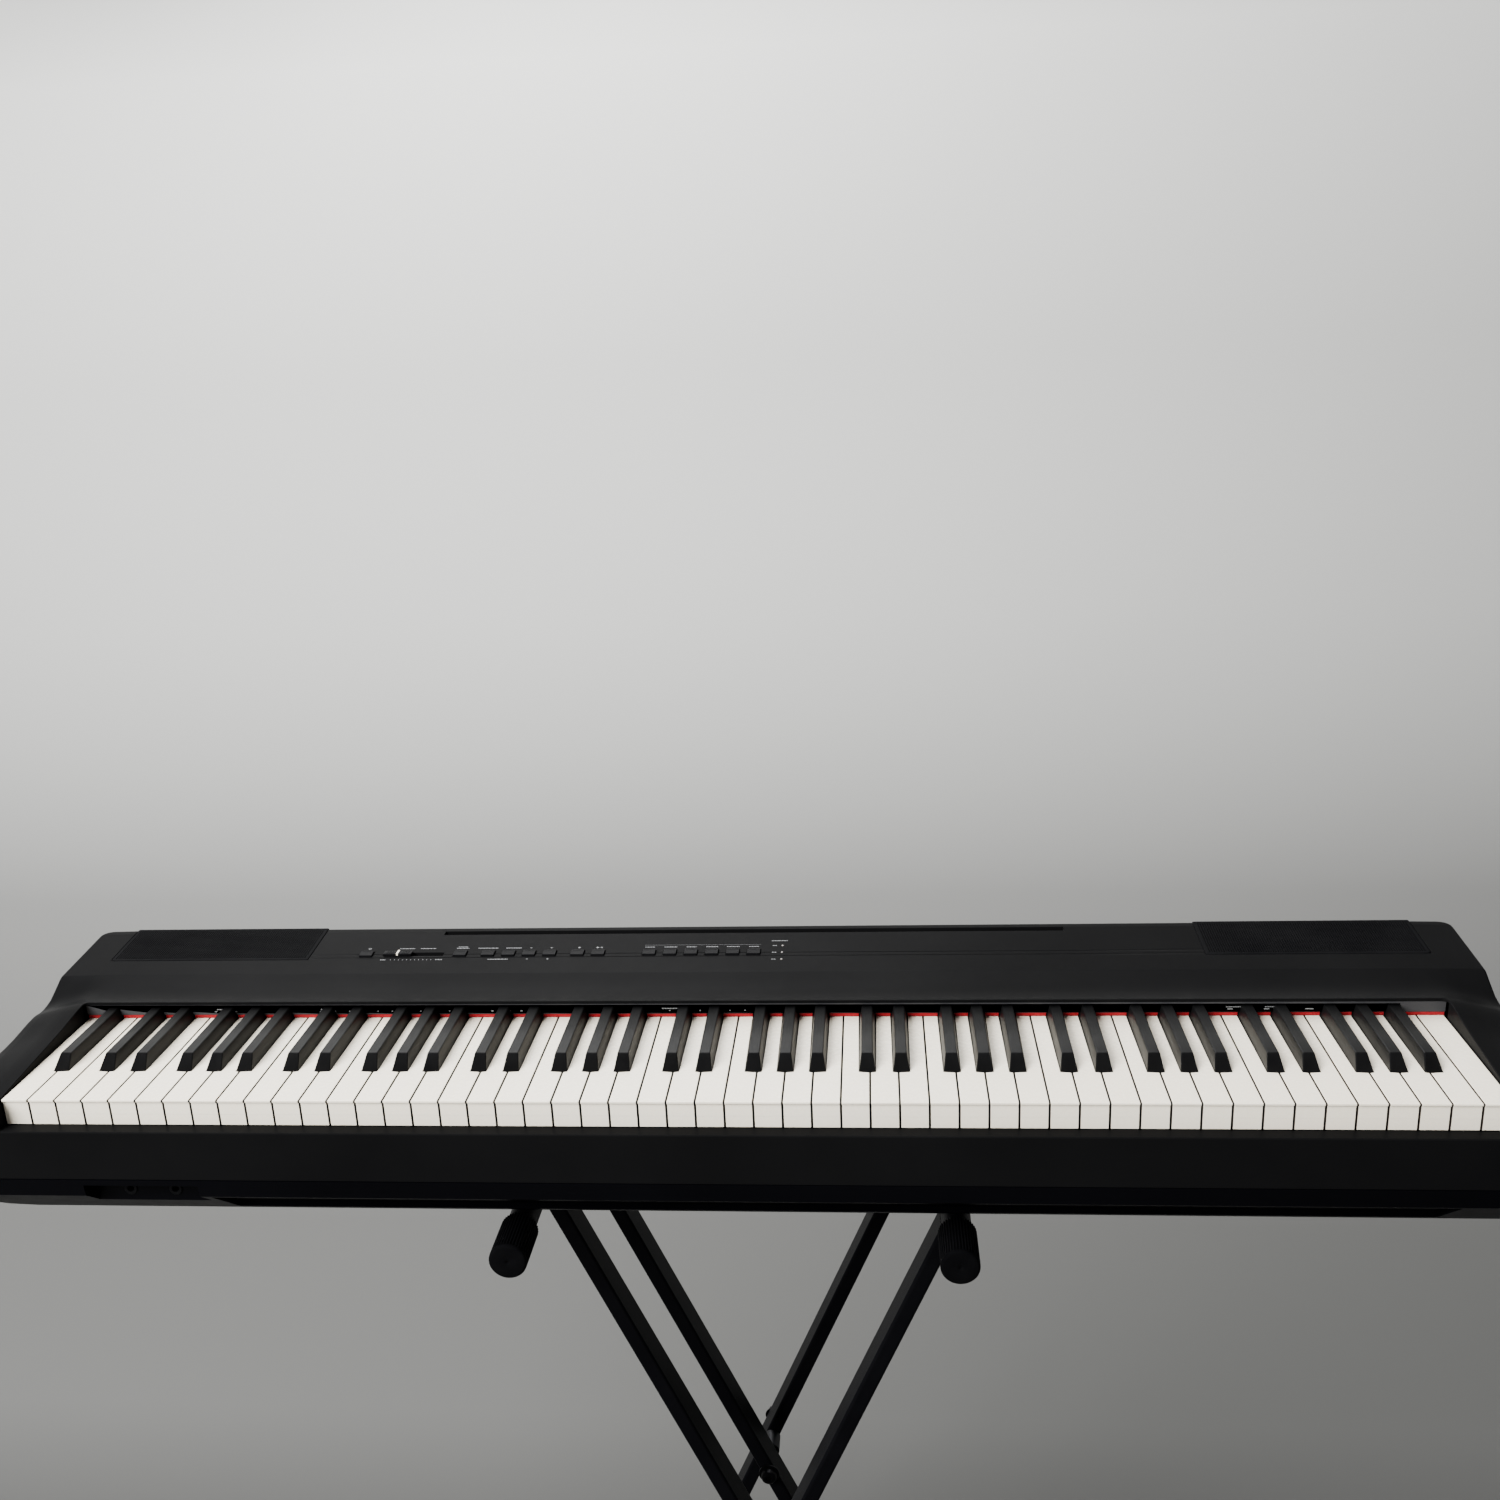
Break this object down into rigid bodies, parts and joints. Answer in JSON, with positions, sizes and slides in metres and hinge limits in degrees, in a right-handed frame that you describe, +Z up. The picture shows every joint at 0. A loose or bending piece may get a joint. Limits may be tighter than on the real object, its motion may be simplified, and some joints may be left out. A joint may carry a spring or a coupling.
{
  "type": "digital piano on stand",
  "caption": "Slab digital piano with a full weighted keyboard, panel buttons, volume slider and speaker grilles, resting on a folding double-braced X stand.",
  "frame": {"origin": "on the floor, midway between the stand's four floor caps and under the middle of the keyboard", "axes": "+X along the keyboard towards the treble end, +Y from the player towards the back of the case, +Z up"},
  "size_m": [1.326, 0.4366, 1.0495],
  "materials": {
    "case_top": "fine-grained charcoal",
    "case_base": "fine-grained near black",
    "fallboard_black": "satin black",
    "red_felt": "brushed wool felt",
    "inner_black": "plain",
    "speaker_black": "plain",
    "circuit_board": "green lacquer",
    "grille_mesh": "perforated, satin black",
    "white_key": "ivory gloss",
    "black_key": "satin with a fine texture",
    "button_black": "satin",
    "knob_black": "satin",
    "stand_paint": "satin powder coat",
    "grip_rubber": "ribbed matte",
    "foot_rubber": "matte",
    "bolt_steel": "blackened zinc"
  },
  "bodies": {
    "inner_frame": {"inner_leg_front": "stand_paint", "inner_leg_rear": "stand_paint", "arm_left": "stand_paint", "grip_left_front": "grip_rubber", "grip_left_rear": "grip_rubber", "floor_bar_right": "stand_paint", "floor_cap_right_front": "foot_rubber", "floor_cap_right_rear": "foot_rubber", "pivot_bolt_front": "bolt_steel", "pivot_bolt_rear": "bolt_steel"},
    "outer_frame": {"outer_leg_front": "stand_paint", "outer_leg_rear": "stand_paint", "arm_right": "stand_paint", "grip_right_front": "grip_rubber", "grip_right_rear": "grip_rubber", "floor_bar_left": "stand_paint", "floor_cap_left_front": "foot_rubber", "floor_cap_left_rear": "foot_rubber", "lock_disc": "bolt_steel"},
    "lock_knob": {"lock_knob": "knob_black"},
    "piano": {"upper_case": "case_top", "lower_case": "case_base", "fallboard": "fallboard_black", "felt_strip": "red_felt", "key_frame": "inner_black", "main_board": "circuit_board", "jack_panel": "inner_black", "speaker_grille_left": "grille_mesh", "speaker_grille_right": "grille_mesh", "speaker_left": "speaker_black", "speaker_right": "speaker_black"},
    "white_keys_1": {"white_keys_1": "white_key"},
    "black_keys_1": {"black_keys_1": "black_key"},
    "white_keys_2": {"white_keys_2": "white_key"},
    "black_keys_2": {"black_keys_2": "black_key"},
    "white_keys_3": {"white_keys_3": "white_key"},
    "black_keys_3": {"black_keys_3": "black_key"},
    "white_keys_4": {"white_keys_4": "white_key"},
    "black_keys_4": {"black_keys_4": "black_key"},
    "white_keys_5": {"white_keys_5": "white_key"},
    "black_keys_5": {"black_keys_5": "black_key"},
    "white_keys_6": {"white_keys_6": "white_key"},
    "black_keys_6": {"black_keys_6": "black_key"},
    "white_keys_7": {"white_keys_7": "white_key"},
    "black_keys_7": {"black_keys_7": "black_key"},
    "power_button": {"power_button": "button_black"},
    "demo_button": {"demo_button": "button_black"},
    "metronome_button": {"metronome_button": "button_black"},
    "rhythm_button": {"rhythm_button": "button_black"},
    "tempo_down_button": {"tempo_down_button": "button_black"},
    "tempo_up_button": {"tempo_up_button": "button_black"},
    "record_button": {"record_button": "button_black"},
    "play_button": {"play_button": "button_black"},
    "voice_button_1": {"voice_button_1": "button_black"},
    "voice_button_2": {"voice_button_2": "button_black"},
    "voice_button_3": {"voice_button_3": "button_black"},
    "voice_button_4": {"voice_button_4": "button_black"},
    "voice_button_5": {"voice_button_5": "button_black"},
    "voice_button_6": {"voice_button_6": "button_black"},
    "volume_slider": {"volume_slider": "button_black"}
  },
  "joints": [
    {"name": "stand_fold", "type": "hinge", "parent": "inner_frame", "child": "outer_frame", "pos_m": [0, 0, 0.446], "axis": [0, -1, 0], "range_deg": [0, 42]},
    {"name": "piano_lift", "type": "slide", "parent": "inner_frame", "child": "piano", "axis": [0, 0, 1], "range_m": [0, 0.19]},
    {"name": "lock_pull", "type": "slide", "parent": "outer_frame", "child": "lock_knob", "axis": [0, -1, 0], "range_m": [0, 0.008], "stiffness_N_per_m": 600, "springref_m": -0.005},
    {"name": "volume_slide", "type": "slide", "parent": "piano", "child": "volume_slider", "axis": [1, 0, 0], "range_m": [0, 0.03]},
    {"name": "white_keys_1_press", "type": "hinge", "parent": "piano", "child": "white_keys_1", "pos_m": [0, 0.023, 1.014], "axis": [1, 0, 0], "range_deg": [0, 2.9], "stiffness_Nm_per_rad": 6, "springref_deg": -14.32},
    {"name": "black_keys_1_press", "type": "hinge", "parent": "piano", "child": "black_keys_1", "pos_m": [0, 0.023, 1.014], "axis": [1, 0, 0], "range_deg": [0, 2.9], "stiffness_Nm_per_rad": 4, "springref_deg": -11.46},
    {"name": "white_keys_2_press", "type": "hinge", "parent": "piano", "child": "white_keys_2", "pos_m": [0, 0.023, 1.014], "axis": [1, 0, 0], "range_deg": [0, 2.9], "stiffness_Nm_per_rad": 6, "springref_deg": -14.32},
    {"name": "black_keys_2_press", "type": "hinge", "parent": "piano", "child": "black_keys_2", "pos_m": [0, 0.023, 1.014], "axis": [1, 0, 0], "range_deg": [0, 2.9], "stiffness_Nm_per_rad": 4, "springref_deg": -11.46},
    {"name": "white_keys_3_press", "type": "hinge", "parent": "piano", "child": "white_keys_3", "pos_m": [0, 0.023, 1.014], "axis": [1, 0, 0], "range_deg": [0, 2.9], "stiffness_Nm_per_rad": 6, "springref_deg": -14.32},
    {"name": "black_keys_3_press", "type": "hinge", "parent": "piano", "child": "black_keys_3", "pos_m": [0, 0.023, 1.014], "axis": [1, 0, 0], "range_deg": [0, 2.9], "stiffness_Nm_per_rad": 4, "springref_deg": -11.46},
    {"name": "white_keys_4_press", "type": "hinge", "parent": "piano", "child": "white_keys_4", "pos_m": [0, 0.023, 1.014], "axis": [1, 0, 0], "range_deg": [0, 2.9], "stiffness_Nm_per_rad": 6, "springref_deg": -14.32},
    {"name": "black_keys_4_press", "type": "hinge", "parent": "piano", "child": "black_keys_4", "pos_m": [0, 0.023, 1.014], "axis": [1, 0, 0], "range_deg": [0, 2.9], "stiffness_Nm_per_rad": 4, "springref_deg": -11.46},
    {"name": "white_keys_5_press", "type": "hinge", "parent": "piano", "child": "white_keys_5", "pos_m": [0, 0.023, 1.014], "axis": [1, 0, 0], "range_deg": [0, 2.9], "stiffness_Nm_per_rad": 6, "springref_deg": -14.32},
    {"name": "black_keys_5_press", "type": "hinge", "parent": "piano", "child": "black_keys_5", "pos_m": [0, 0.023, 1.014], "axis": [1, 0, 0], "range_deg": [0, 2.9], "stiffness_Nm_per_rad": 4, "springref_deg": -11.46},
    {"name": "white_keys_6_press", "type": "hinge", "parent": "piano", "child": "white_keys_6", "pos_m": [0, 0.023, 1.014], "axis": [1, 0, 0], "range_deg": [0, 2.9], "stiffness_Nm_per_rad": 6, "springref_deg": -14.32},
    {"name": "black_keys_6_press", "type": "hinge", "parent": "piano", "child": "black_keys_6", "pos_m": [0, 0.023, 1.014], "axis": [1, 0, 0], "range_deg": [0, 2.9], "stiffness_Nm_per_rad": 4, "springref_deg": -11.46},
    {"name": "white_keys_7_press", "type": "hinge", "parent": "piano", "child": "white_keys_7", "pos_m": [0, 0.023, 1.014], "axis": [1, 0, 0], "range_deg": [0, 2.9], "stiffness_Nm_per_rad": 6, "springref_deg": -14.32},
    {"name": "black_keys_7_press", "type": "hinge", "parent": "piano", "child": "black_keys_7", "pos_m": [0, 0.023, 1.014], "axis": [1, 0, 0], "range_deg": [0, 2.9], "stiffness_Nm_per_rad": 4, "springref_deg": -11.46},
    {"name": "power_press", "type": "slide", "parent": "piano", "child": "power_button", "axis": [0, 0, -1], "range_m": [0, 0.0012], "stiffness_N_per_m": 900, "springref_m": -0.001},
    {"name": "demo_press", "type": "slide", "parent": "piano", "child": "demo_button", "axis": [0, 0, -1], "range_m": [0, 0.0012], "stiffness_N_per_m": 900, "springref_m": -0.001},
    {"name": "metronome_press", "type": "slide", "parent": "piano", "child": "metronome_button", "axis": [0, 0, -1], "range_m": [0, 0.0012], "stiffness_N_per_m": 900, "springref_m": -0.001},
    {"name": "rhythm_press", "type": "slide", "parent": "piano", "child": "rhythm_button", "axis": [0, 0, -1], "range_m": [0, 0.0012], "stiffness_N_per_m": 900, "springref_m": -0.001},
    {"name": "tempo_down_press", "type": "slide", "parent": "piano", "child": "tempo_down_button", "axis": [0, 0, -1], "range_m": [0, 0.0012], "stiffness_N_per_m": 900, "springref_m": -0.001},
    {"name": "tempo_up_press", "type": "slide", "parent": "piano", "child": "tempo_up_button", "axis": [0, 0, -1], "range_m": [0, 0.0012], "stiffness_N_per_m": 900, "springref_m": -0.001},
    {"name": "record_press", "type": "slide", "parent": "piano", "child": "record_button", "axis": [0, 0, -1], "range_m": [0, 0.0012], "stiffness_N_per_m": 900, "springref_m": -0.001},
    {"name": "play_press", "type": "slide", "parent": "piano", "child": "play_button", "axis": [0, 0, -1], "range_m": [0, 0.0012], "stiffness_N_per_m": 900, "springref_m": -0.001},
    {"name": "voice_1_press", "type": "slide", "parent": "piano", "child": "voice_button_1", "axis": [0, 0, -1], "range_m": [0, 0.0012], "stiffness_N_per_m": 900, "springref_m": -0.001},
    {"name": "voice_2_press", "type": "slide", "parent": "piano", "child": "voice_button_2", "axis": [0, 0, -1], "range_m": [0, 0.0012], "stiffness_N_per_m": 900, "springref_m": -0.001},
    {"name": "voice_3_press", "type": "slide", "parent": "piano", "child": "voice_button_3", "axis": [0, 0, -1], "range_m": [0, 0.0012], "stiffness_N_per_m": 900, "springref_m": -0.001},
    {"name": "voice_4_press", "type": "slide", "parent": "piano", "child": "voice_button_4", "axis": [0, 0, -1], "range_m": [0, 0.0012], "stiffness_N_per_m": 900, "springref_m": -0.001},
    {"name": "voice_5_press", "type": "slide", "parent": "piano", "child": "voice_button_5", "axis": [0, 0, -1], "range_m": [0, 0.0012], "stiffness_N_per_m": 900, "springref_m": -0.001},
    {"name": "voice_6_press", "type": "slide", "parent": "piano", "child": "voice_button_6", "axis": [0, 0, -1], "range_m": [0, 0.0012], "stiffness_N_per_m": 900, "springref_m": -0.001}
  ],
  "couplings": [
    {"joint": "piano_lift", "follows": "stand_fold", "m_per_rad": 0.25}
  ]
}
